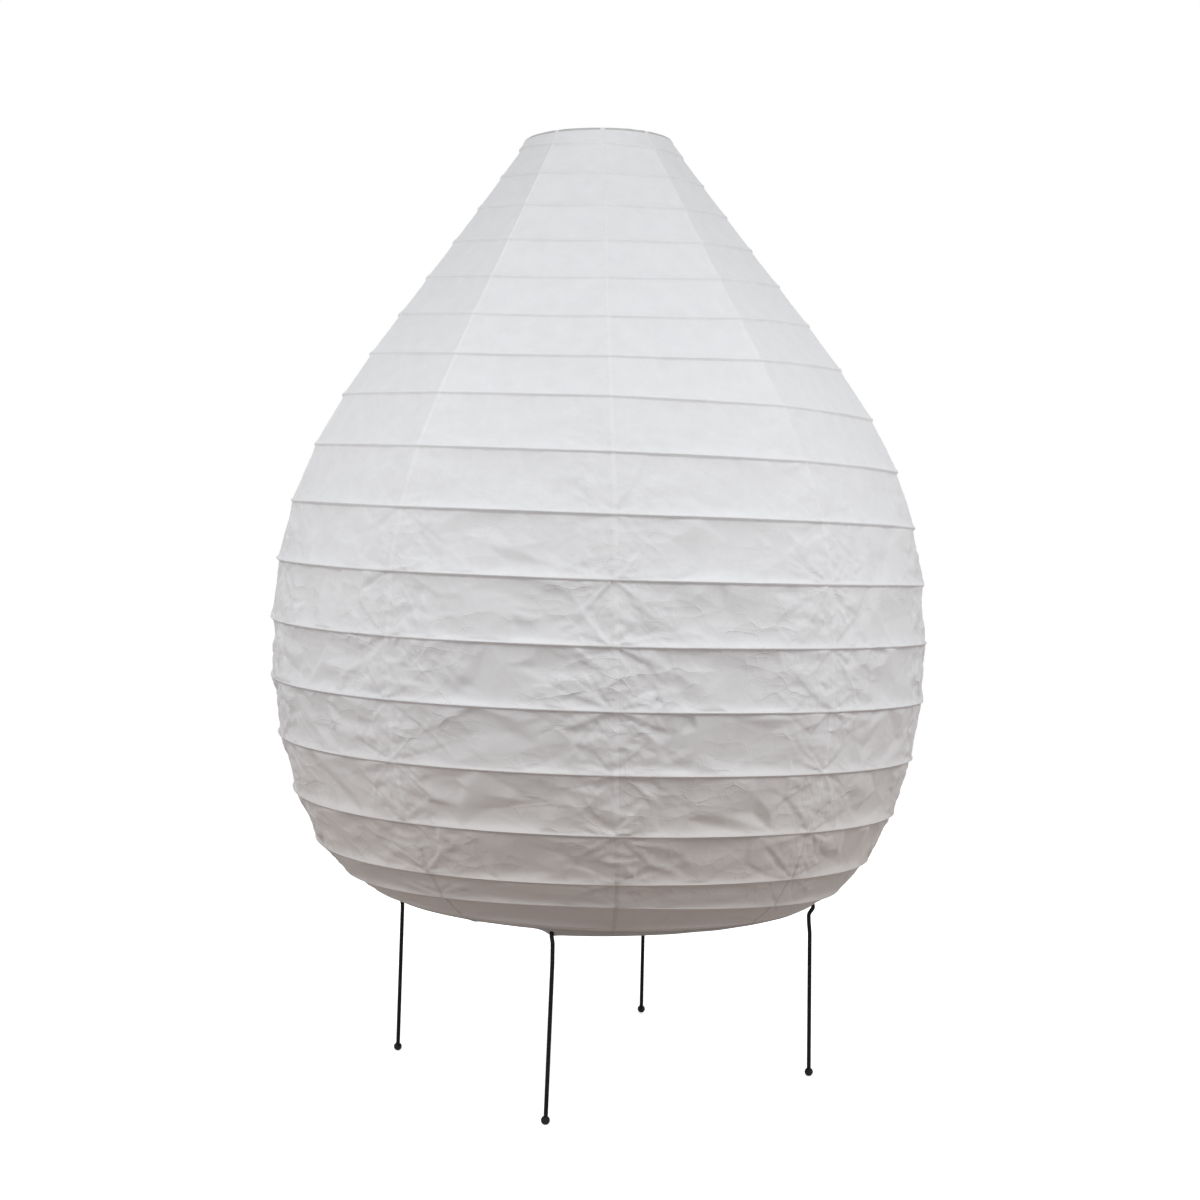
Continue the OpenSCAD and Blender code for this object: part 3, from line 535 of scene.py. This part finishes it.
def tone(tree, shader, factor, dark, light, low=0.0, high=1.0):
    """Base colour that runs between two colours with a factor."""
    ramp = node(tree, "ShaderNodeValToRGB", {"Fac": factor})
    ramp.color_ramp.elements[0].position, ramp.color_ramp.elements[1].position = low, high
    ramp.color_ramp.elements[0].color, ramp.color_ramp.elements[1].color = (*dark, 1), (*light, 1)
    tree.links.new(ramp.outputs["Color"], shader.inputs["Base Color"])
    return ramp


def bump(tree, shader, height, strength, distance):
    b = node(tree, "ShaderNodeBump", {"Height": height}, Strength=strength, Distance=distance)
    tree.links.new(b.outputs[0], shader.inputs["Normal"])


def noise(tree, vector, scale, detail=3.0, roughness=0.5):
    return node(tree, "ShaderNodeTexNoise", {"Vector": vector}, Scale=scale, Detail=detail,
                Roughness=roughness).outputs["Fac"]


def combine(tree, operation, a, b):
    n = node(tree, "ShaderNodeMath", operation=operation)
    for k, value in enumerate((a, b)):
        if isinstance(value, (int, float)):
            n.inputs[k].default_value = value
        else:
            tree.links.new(value, n.inputs[k])
    return n.outputs[0]


def map_range(tree, value, from_low, from_high, low=0.0, high=1.0):
    n = node(tree, "ShaderNodeMapRange", {"Value": value})
    for key, number in zip(("From Min", "From Max", "To Min", "To Max"), (from_low, from_high, low, high)):
        n.inputs[key].default_value = number
    return n.outputs[0]


def total(tree, *terms):
    """Sum of terms, each an output or a pair of an output and a number or output to multiply it by."""
    parts = [combine(tree, "MULTIPLY", *t) if isinstance(t, tuple) else t for t in terms]
    out = parts[0]
    for part in parts[1:]:
        out = combine(tree, "ADD", out, part)
    return out


def creased_cells(tree, vector, scale, line):
    """1 on the lines between uneven cells, 0 elsewhere."""
    cells = node(tree, "ShaderNodeTexVoronoi", {"Vector": vector}, Scale=scale, feature="DISTANCE_TO_EDGE")
    return map_range(tree, cells.outputs["Distance"], 0, line, 1, 0)


def facets(tree, vector, scale):
    """Shallow bowls that meet in sharp edges."""
    near = node(tree, "ShaderNodeTexVoronoi", {"Vector": vector}, Scale=scale).outputs["Distance"]
    return combine(tree, "MULTIPLY", near, near)


def paper_material(name, colour, foot=None, painted_shade_from=0.0, painted_shade_to=1.0):
    """Washi: cloudy pulp, fine dry wrinkles where it is crumpled and a soft tooth.

    With a foot colour it turns to that between two heights towards the shade's foot: painted shade, darker
    paper low down where the real shade gets less light.
    """
    m, tree, shader = material(name, colour, 0.86, Specular_IOR_Level=0.28, Sheen_Weight=0.12,
                               Sheen_Roughness=0.6)
    vector = place(tree)
    cloud, pulp = noise(tree, vector, 55, 4, 0.62), noise(tree, vector, 420, 5, 0.7)
    dark, light = tuple(c * 0.955 for c in colour), tuple(min(1, c * 1.03) for c in colour)
    ramp = tone(tree, shader, total(tree, (cloud, 0.6), (pulp, 0.4)), dark, light, 0.32, 0.68)
    height = node(tree, "ShaderNodeSeparateXYZ", {"Vector": vector}).outputs["Z"]
    # painted shade: below the given heights the colour darkens to the foot colour, standing in for the dimmer
    # light on the lower shade
    if foot:
        mix = node(tree, "ShaderNodeMix", data_type="RGBA")
        mix.inputs[6].default_value = (*foot, 1)
        tree.links.new(ramp.outputs["Color"], mix.inputs[7])
        tree.links.new(map_range(tree, height, painted_shade_from, painted_shade_to), mix.inputs[0])
        tree.links.new(mix.outputs[2], shader.inputs["Base Color"])
    warp = node(tree, "ShaderNodeTexNoise", {"Vector": vector}, Scale=22.0, Detail=3.0)
    pushed = node(tree, "ShaderNodeVectorMath", {0: warp.outputs["Color"]}, operation="SCALE")
    pushed.inputs["Scale"].default_value = 0.016
    bent = node(tree, "ShaderNodeVectorMath", {0: vector, 1: pushed.outputs[0]}, operation="ADD").outputs[0]
    wrinkled = combine(tree, "MULTIPLY", map_range(tree, height, 0.78, 0.55),
                       map_range(tree, noise(tree, vector, 14, 2), 0.42, 0.62, 0.1, 1))
    wrinkled = combine(tree, "MULTIPLY", wrinkled, map_range(tree, height, 0.25, 0.33, 0.3, 1))
    flat = node(tree, "ShaderNodeMapping", {"Vector": bent}, Scale=(1, 1, 1.9)).outputs[0]
    broken = map_range(tree, noise(tree, vector, 42, 2), 0.46, 0.6)
    lines = total(tree, (creased_cells(tree, flat, 24, 0.03), 0.34),
                  (creased_cells(tree, flat, 55, 0.05), 0.16), (creased_cells(tree, flat, 130, 0.12), 0.05))
    fine = total(tree, (facets(tree, flat, 24), 2.8), (facets(tree, flat, 55), 0.75), (lines, broken))
    bump(tree, shader, total(tree, (pulp, 0.05), (fine, wrinkled)), 1.0, 0.001)
    return m


def bare_metal(name, colour, roughness, brushed=(1, 1, 1), scale=300):
    m, tree, shader = material(name, colour, roughness, 1.0)
    vector = place(tree, brushed)
    grain = noise(tree, vector, scale, 4, 0.6)
    dark, light = tuple(c * 0.86 for c in colour), tuple(min(1, c * 1.08) for c in colour)
    tone(tree, shader, grain, dark, light, 0.3, 0.7)
    rough = map_range(tree, grain, 0, 1, roughness * 0.75, roughness * 1.25)
    tree.links.new(rough, shader.inputs["Roughness"])
    bump(tree, shader, grain, 0.12, 0.0001)
    return m


def coated(name, colour, roughness, scale, depth, **inputs):
    """Powder coat, rubber or moulded plastic with its own fine texture."""
    m, tree, shader = material(name, colour, roughness, **inputs)
    vector = place(tree)
    peel = noise(tree, vector, scale, 3, 0.55)
    tone(tree, shader, noise(tree, vector, scale * 0.12, 3), tuple(c * 0.85 for c in colour),
         tuple(min(1, c * 1.2) for c in colour), 0.35, 0.65)
    bump(tree, shader, peel, 0.25, depth)
    return m


# the foot colours are painted shade: both papers darken low on the shade, the doubled seam paper more, for
# the light that falls on and passes through them less there
PAPER = paper_material("washi_paper", (0.765, 0.775, 0.795), (0.71, 0.693, 0.682), 0.28, 0.47)
PAPER_DOUBLE = paper_material("washi_paper_double", (0.79, 0.8, 0.815), (0.615, 0.598, 0.588), 0.27, 0.38)
PAPER_HEM = paper_material("washi_paper_hem", (0.52, 0.52, 0.52))
BLACK = coated("black_powder_coat", (0.005, 0.005, 0.005), 0.6, 1400, 0.00006, Specular_IOR_Level=0.12)
RUBBER = coated("black_rubber", (0.006, 0.006, 0.006), 0.6, 900, 0.00008, Specular_IOR_Level=0.2)
PLASTIC = coated("black_phenolic", (0.018, 0.018, 0.019), 0.32, 700, 0.00004, Coat_Weight=0.2)
WHITE_PLASTIC = coated("white_plastic", (0.82, 0.82, 0.8), 0.38, 600, 0.00003)
CERAMIC = coated("glazed_ceramic", (0.86, 0.85, 0.8), 0.25, 240, 0.00006, Coat_Weight=0.5)
BLACK_GLASS = coated("black_glass", (0.012, 0.012, 0.016), 0.12, 300, 0.00002, Coat_Weight=0.6)
ZINC = bare_metal("zinc_plate", (0.62, 0.62, 0.63), 0.34)
WIRE = bare_metal("galvanised_wire", (0.46, 0.46, 0.47), 0.42, (1, 1, 1), 500)
BRASS = bare_metal("turned_brass", (0.78, 0.6, 0.3), 0.3, (1, 1, 14))
NICKEL = bare_metal("nickel_plate", (0.66, 0.64, 0.6), 0.22)


def bamboo_material():
    m, tree, shader = material("split_bamboo", (0.6, 0.47, 0.3), 0.55, Specular_IOR_Level=0.35)
    vector = place(tree, (1, 1, 9))
    grain = noise(tree, vector, 260, 4, 0.6)
    tone(tree, shader, grain, (0.44, 0.32, 0.18), (0.7, 0.58, 0.38), 0.3, 0.7)
    bump(tree, shader, grain, 0.4, 0.0002)
    return m


BAMBOO = bamboo_material()


def opal_material():
    m, tree, shader = material("opal_globe", (0.88, 0.88, 0.86), 0.3, Subsurface_Weight=0.3,
                               Subsurface_Scale=0.004)
    vector = place(tree)
    haze = noise(tree, vector, 120, 3)
    tone(tree, shader, haze, (0.86, 0.86, 0.84), (0.9, 0.9, 0.88), 0.3, 0.7)
    bump(tree, shader, noise(tree, vector, 900, 2), 0.06, 0.00004)
    return m


OPAL = opal_material()

# ---------------------------------------------------------------- the ten panels
# the bottom ring travels 800 mm
COLUMNS, SEAM_DENSITY = 127, 0.45     # of points across a panel, which stand closer together near its seams
even = np.linspace(0, 1, COLUMNS)
ACROSS = even - SEAM_DENSITY * np.sin(2 * math.pi * even) / (2 * math.pi)
# across a seam strip: mm from its edge, mm that it stands off the panel, and its thickness
STRIP_MM, STRIP_LIFT, STRIP_T = (0, 0.8, SEAM_W - 0.8, SEAM_W), (0.04, 0.3, 0.3, 0.08), 0.25
STRIP_AT_R = 300              # radius in mm at which the strip has its full width
MAP_SPLIT = 0.93              # share of the map that the panel takes; the strip has the rest
for j in range(GORES):
    # the strip is this panel's glued edge, which lies over the next panel
    points, groups, spots = shell(panel_surface(j, ACROSS), PAPER_T * MM, (0, MAP_SPLIT), coarser=2)
    strip_s = np.array(STRIP_MM) / (STRIP_AT_R * math.radians(SEAM_ANGLE))
    strip_face = panel_surface((j + 1) % GORES, strip_s, np.array(STRIP_LIFT))
    strip = shell(strip_face, STRIP_T * MM, (MAP_SPLIT, 1))
    indices = np.repeat([0, 1], [sum(map(len, groups)), sum(map(len, strip[1]))])
    gore = make_object(f"paper_gore_{j + 1:02d}", np.vstack([points, strip[0]]),
                       groups + [g + len(points) for g in strip[1]], [PAPER, PAPER_DOUBLE],
                       indices, np.vstack([spots, strip[2]]))
    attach(gore, "frame")
    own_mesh(gore)
    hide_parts(f"paper_panel_{j + 1:02d}")


# ---------------------------------------------------------------- tubes
def tube(name, line, radius, sides, mat, across=(0, 0, 1), closed=False):
    """A round tube along a line of points (metres); radius may be one number or one for each point."""
    line = np.asarray(line, float)
    if closed:
        t = np.roll(line, -1, 0) - np.roll(line, 1, 0)
    else:
        t = np.gradient(line, axis=0)
    t /= np.linalg.norm(t, axis=1, keepdims=True)
    side = np.asarray(across, float) - (t @ np.asarray(across, float))[:, None] * t
    side /= np.linalg.norm(side, axis=1, keepdims=True)
    up = np.cross(side, t)
    a = np.linspace(0, 2 * math.pi, sides, endpoint=False)
    r = np.broadcast_to(np.asarray(radius, float), (len(line),))[:, None, None]
    ring = (line[:, None] + r * (np.cos(a)[None, :, None] * side[:, None]
                                 + np.sin(a)[None, :, None] * up[:, None]))
    n = len(line)
    i, k = np.meshgrid(np.arange(n if closed else n - 1), np.arange(sides), indexing="ij")
    i2, k2 = (i + 1) % n, (k + 1) % sides
    quads = np.stack([(i * sides + k).ravel(), (i2 * sides + k).ravel(), (i2 * sides + k2).ravel(),
                      (i * sides + k2).ravel()], 1)
    ends = [] if closed else [np.array([range(sides), range(n * sides - 1, (n - 1) * sides - 1, -1)])]
    return make_object(name, ring.reshape(-1, 3), [quads] + ends, [mat])


# ---------------------------------------------------------------- bamboo rib
TUCK = 0.25 / 24              # turns left off at each end of the rib
POINTS_A_TURN = 72
KNOT_FROM, KNOT_EVERY, KNOT_W = 0.07, 0.31, 0.0016     # knots along the bamboo, in metres
u = np.linspace(TUCK, RIB_TURNS - TUCK, int(RIB_TURNS * POINTS_A_TURN) + 1)
z = rib_z(u)
n_r, n_z = outline_normal(z)
depth = PAPER_T + GLUE_GAP + RIB_D / 2 + 0.25
line = shade_points(outline_r(z) - depth * n_r, rib_angle(u), z - depth * n_z)
run = np.concatenate([[0], np.cumsum(np.linalg.norm(np.diff(line, axis=0), axis=1))])
knots = np.exp(-(((run + KNOT_FROM) % KNOT_EVERY - KNOT_EVERY / 2) / KNOT_W) ** 2)
rib = tube("bamboo_spiral", line, (RIB_D / 2 + 0.1 * knots) * MM, 10, BAMBOO)
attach(rib, "frame")
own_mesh(rib)
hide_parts("bamboo_rib")


# ---------------------------------------------------------------- hems
SEAM_MARK = 2.4               # half the width in mm of the paler paper at each seam of the top hem


def lumps(degrees):
    """Mm by which the foot's hem bulges where it is bunched over the front leg's crook, and at one gather."""
    return 2.6 * np.exp(-(((degrees + 12.5) / 1.7) ** 2)) + 1.3 * np.exp(-(((degrees + 31.5) / 1.1) ** 2))


def flap(degrees):
    """Mm by which the foot's hem hangs below the ring: only at the front and the right."""
    return lean(degrees) * smooth(degrees, -13.5, -10.5) * (1 - smooth(degrees, 80, 110))


def hem(name, ring_r, ring_z, start, stop, tail, wrap, body, finish, foot):
    """The paper's edge: a closed band wrapped round a ring of wire, with a short tail inside."""
    turns = np.radians(np.linspace(start, stop, 13))
    degrees = np.arange(-180, 180, 0.5)
    loop = []
    for out, order in ((0, 1), (-PAPER_T * 0.8, -1)):
        rows = []
        for a in turns:
            skin = wrap + out
            low = max(0, -math.sin(a))
            hang = flap(degrees) * low + lumps(degrees) * (0.35 + 0.65 * low) if foot else 0 * degrees
            swell = 0.45 * lumps(degrees) * max(0, math.cos(a)) if foot else 0
            rows.append((ring_r + skin * math.cos(a) + swell - 0.6 * hang,
                         ring_z + skin * math.sin(a) - hang))
        for k in (1, 2, 3):
            rows.append((ring_r - skin + k * tail[0] + 0 * degrees, ring_z + k * tail[1] + 0 * degrees))
        loop += rows[::order]
    wobble = 0.3 * soft_noise(degrees / 6, 0.5 + 0 * degrees, 60, 77)
    higher = lean(degrees) if foot else 0
    face = np.array([round_points(r + 0 * degrees, degrees, z + wobble + higher) for r, z in loop])
    rows, columns = face.shape[:2]
    i, k = np.meshgrid(np.arange(rows), np.arange(columns), indexing="ij")
    i2, k2 = (i + 1) % rows, (k + 1) % columns
    quads = np.stack([(x * columns + y).ravel() for x, y in ((i, k), (i, k2), (i2, k2), (i2, k))], 1)
    half = SEAM_ANGLE / 2
    to_seam = np.abs((degrees - FIRST_SEAM + half) % SEAM_ANGLE - half) * math.radians(ring_r)
    at_seam = np.tile((to_seam < SEAM_MARK) & (not foot), rows).astype(int)
    obj = make_object(name, face.reshape(-1, 3), [quads], [finish, PAPER], at_seam)
    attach(obj, body)


hem("paper_hem_top", TOP_RING_R, TOP_RING_Z, -35, 180, (1.4, -3), 2.6, "frame", PAPER_HEM, False)
hem("paper_hem_foot", BOTTOM_RING_R, RING_H, 20, -180, (0.8, 3), 2.0, "bottom_ring", PAPER_HEM, True)

degrees = np.arange(0, 360, 2.5)
ring = tube("foot_ring", round_points(BOTTOM_RING_R + 0 * degrees, degrees, RING_H + lean(degrees)),
            WIRE_R * MM, 16, WIRE, closed=True)
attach(ring, "bottom_ring")
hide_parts("bottom_ring")

# ---------------------------------------------------------------- legs
LEG_R, LEG_TURN = 2.4, 13     # radius of the wire in mm; degrees from the front to the first leg
ARM_FROM, WIRE_END_H = 24, 3  # radius at which the wire starts in the hub, height at which it ends
CROOK_R, FLARE, CROOK_RUN, KNEE_R = 5, math.radians(35), 5, 8
seat = math.sqrt((CROOK_R + LEG_R + WIRE_R + RING_GAP) ** 2 - CROOK_R**2)
ARM_Z = RING_H - seat + CROOK_R
ARM_END = BOTTOM_RING_R - CROOK_R


def arc(middle, r, start, stop, steps):
    a = np.linspace(start, stop, steps)
    return [(middle[0] + r * math.cos(x), middle[1] + r * math.sin(x)) for x in a]


crook_end = (ARM_END + CROOK_R * math.cos(FLARE), ARM_Z - CROOK_R - CROOK_R * math.sin(FLARE))
knee_start = (crook_end[0] - CROOK_RUN * math.sin(FLARE), crook_end[1] - CROOK_RUN * math.cos(FLARE))
knee_middle = (knee_start[0] + KNEE_R * math.cos(FLARE), knee_start[1] - KNEE_R * math.sin(FLARE))
FOOT_R = knee_middle[0] - KNEE_R
BAND_TOP = knee_middle[1] - 4
SHAFT_LEAN = (8.5, 1.3, 4.3, 6.6)     # mm that each leg's top stands to the right of its foot
for k in range(4):
    a = math.radians(k * 90 - LEG_TURN)
    hook = a + SHAFT_LEAN[k] * math.cos(a) / BOTTOM_RING_R
    rise = float(lean(math.degrees(hook)))
    line = []
    for step in range(8):
        share = step / 8
        r = ARM_FROM + share * (ARM_END - ARM_FROM)
        line.append((r, ARM_Z + rise * share, a + (hook - a) * share, 0))
    bends = (arc((ARM_END, ARM_Z - CROOK_R), CROOK_R, math.pi / 2, -FLARE, 18)
             + arc(knee_middle, KNEE_R, math.pi - FLARE, math.pi, 10))
    line += [(r, z + rise, hook, 0) for r, z in bends]
    inward = SHAFT_LEAN[k] * math.sin(a)
    for z in np.linspace(BAND_TOP + rise, WIRE_END_H, 60):
        share = z / (BAND_TOP + rise)
        line.append((FOOT_R, z, a + (hook - a) * share, inward * share * (1 - smooth(share, 0.9, 1.0))))
    points = [((r + dr) * math.sin(x) * MM, -(r + dr) * math.cos(x) * MM, z * MM) for r, z, x, dr in line]
    leg = tube(f"leg_{k + 1:02d}", points, LEG_R * MM, 20, BLACK, across=(math.cos(a), math.sin(a), 0))
    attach(leg, "frame")
    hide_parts(f"leg_wire_{k + 1:02d}")

# ---------------------------------------------------------------- carried-over CAD pieces
FINISH = {
    "top_ring": WIRE, "top_bar": WIRE, "hub": BLACK, "harp": BLACK,
    "leg_grub_screws": ZINC, "harp_grub_screws": ZINC, "harp_nut": BRASS, "stem": ZINC, "stem_nuts": ZINC,
    "cord_bush": PLASTIC, "holder_cap": PLASTIC, "holder_shell": PLASTIC, "holder_insert": CERAMIC,
    "screw_sleeve": BRASS, "centre_contact": BRASS, "bulb_globe": OPAL, "bulb_housing": WHITE_PLASTIC,
    "bulb_board": WHITE_PLASTIC, "bulb_screw_cap": NICKEL, "bulb_insulator": BLACK_GLASS, "bulb_tip": NICKEL,
}
FINISH.update({f"ball_foot_{k:02d}": RUBBER for k in range(1, 5)})
for name, finish in FINISH.items():
    data = NODES[name].data
    data.materials.clear()
    data.materials.append(finish)


# ---------------------------------------------------------------- floor, world and lamps
def camera_mix(tree, output, seen, unseen):
    """Camera, glossy and transmission rays get one shader, all others the other."""
    path = node(tree, "ShaderNodeLightPath")
    rays = combine(tree, "MAXIMUM", path.outputs["Is Camera Ray"], path.outputs["Is Glossy Ray"])
    rays = combine(tree, "MAXIMUM", rays, path.outputs["Is Transmission Ray"])
    mix = node(tree, "ShaderNodeMixShader", {0: rays, 1: unseen, 2: seen})
    tree.links.new(mix.outputs[0], output.inputs["Surface"])


FLOOR_HALF, FLOOR_Z = 2.6, -0.0002
floor_mesh = bpy.data.meshes.new("floor")
corners = [(x * FLOOR_HALF, y * FLOOR_HALF, FLOOR_Z) for x, y in ((-1, -1), (1, -1), (1, 1), (-1, 1))]
floor_mesh.from_pydata(corners, [], [(0, 1, 2, 3)])
floor = bpy.data.objects.new("floor", floor_mesh)
bpy.context.scene.collection.objects.link(floor)
floor_mat = bpy.data.materials.new("floor")
floor_mat.use_nodes = True
tree = floor_mat.node_tree
tree.nodes.clear()
output = node(tree, "ShaderNodeOutputMaterial")
pale = node(tree, "ShaderNodeBsdfDiffuse", Color=(0.9, 0.9, 0.9, 1))
glow = node(tree, "ShaderNodeEmission", Color=(1, 1, 1, 1), Strength=0.68)
seen = node(tree, "ShaderNodeAddShader", {0: pale.outputs[0], 1: glow.outputs[0]})
grey = node(tree, "ShaderNodeBsdfDiffuse", Color=(0.37, 0.305, 0.275, 1))
camera_mix(tree, output, seen.outputs[0], grey.outputs[0])
floor_mesh.materials.append(floor_mat)

world = bpy.data.worlds.new("world")
bpy.context.scene.world = world
world.use_nodes = True
tree = world.node_tree
tree.nodes.clear()
output = node(tree, "ShaderNodeOutputWorld")
coord = node(tree, "ShaderNodeTexCoord")
parts = node(tree, "ShaderNodeSeparateXYZ", {"Vector": coord.outputs["Generated"]})
strength = map_range(tree, parts.outputs["Z"], 0.5, 1, 0.34, 0.76)
light = node(tree, "ShaderNodeBackground", {"Strength": strength}, Color=(1, 1, 1, 1))
white = node(tree, "ShaderNodeBackground", Color=(1, 1, 1, 1), Strength=1.0)
camera_mix(tree, output, white.outputs[0], light.outputs[0])

# angle round the lamp, distance from its axis and height in metres, and power
SOFTBOXES = {"front_left": (-46, 1.5, 1.2, 9.5), "front_right": (47, 1.5, 1.2, 10.1),
             "back_left": (-158, 1.7, 1.2, 5.8), "back_right": (158, 1.7, 1.2, 5.8)}
SOFTBOX_SIZE, AIM_HEIGHT = 1.0, 0.65
for name, (degrees, away, up, watts) in SOFTBOXES.items():
    soft = bpy.data.lights.new(name, "AREA")
    soft.shape, soft.size, soft.energy = "DISK", SOFTBOX_SIZE, watts
    softbox = bpy.data.objects.new(name, soft)
    softbox.location = round_points(away / MM, degrees, up / MM)
    aim = Vector((0, 0, AIM_HEIGHT)) - softbox.location
    softbox.rotation_euler = aim.to_track_quat("-Z", "Y").to_euler()
    softbox.visible_camera = False
    bpy.context.scene.collection.objects.link(softbox)
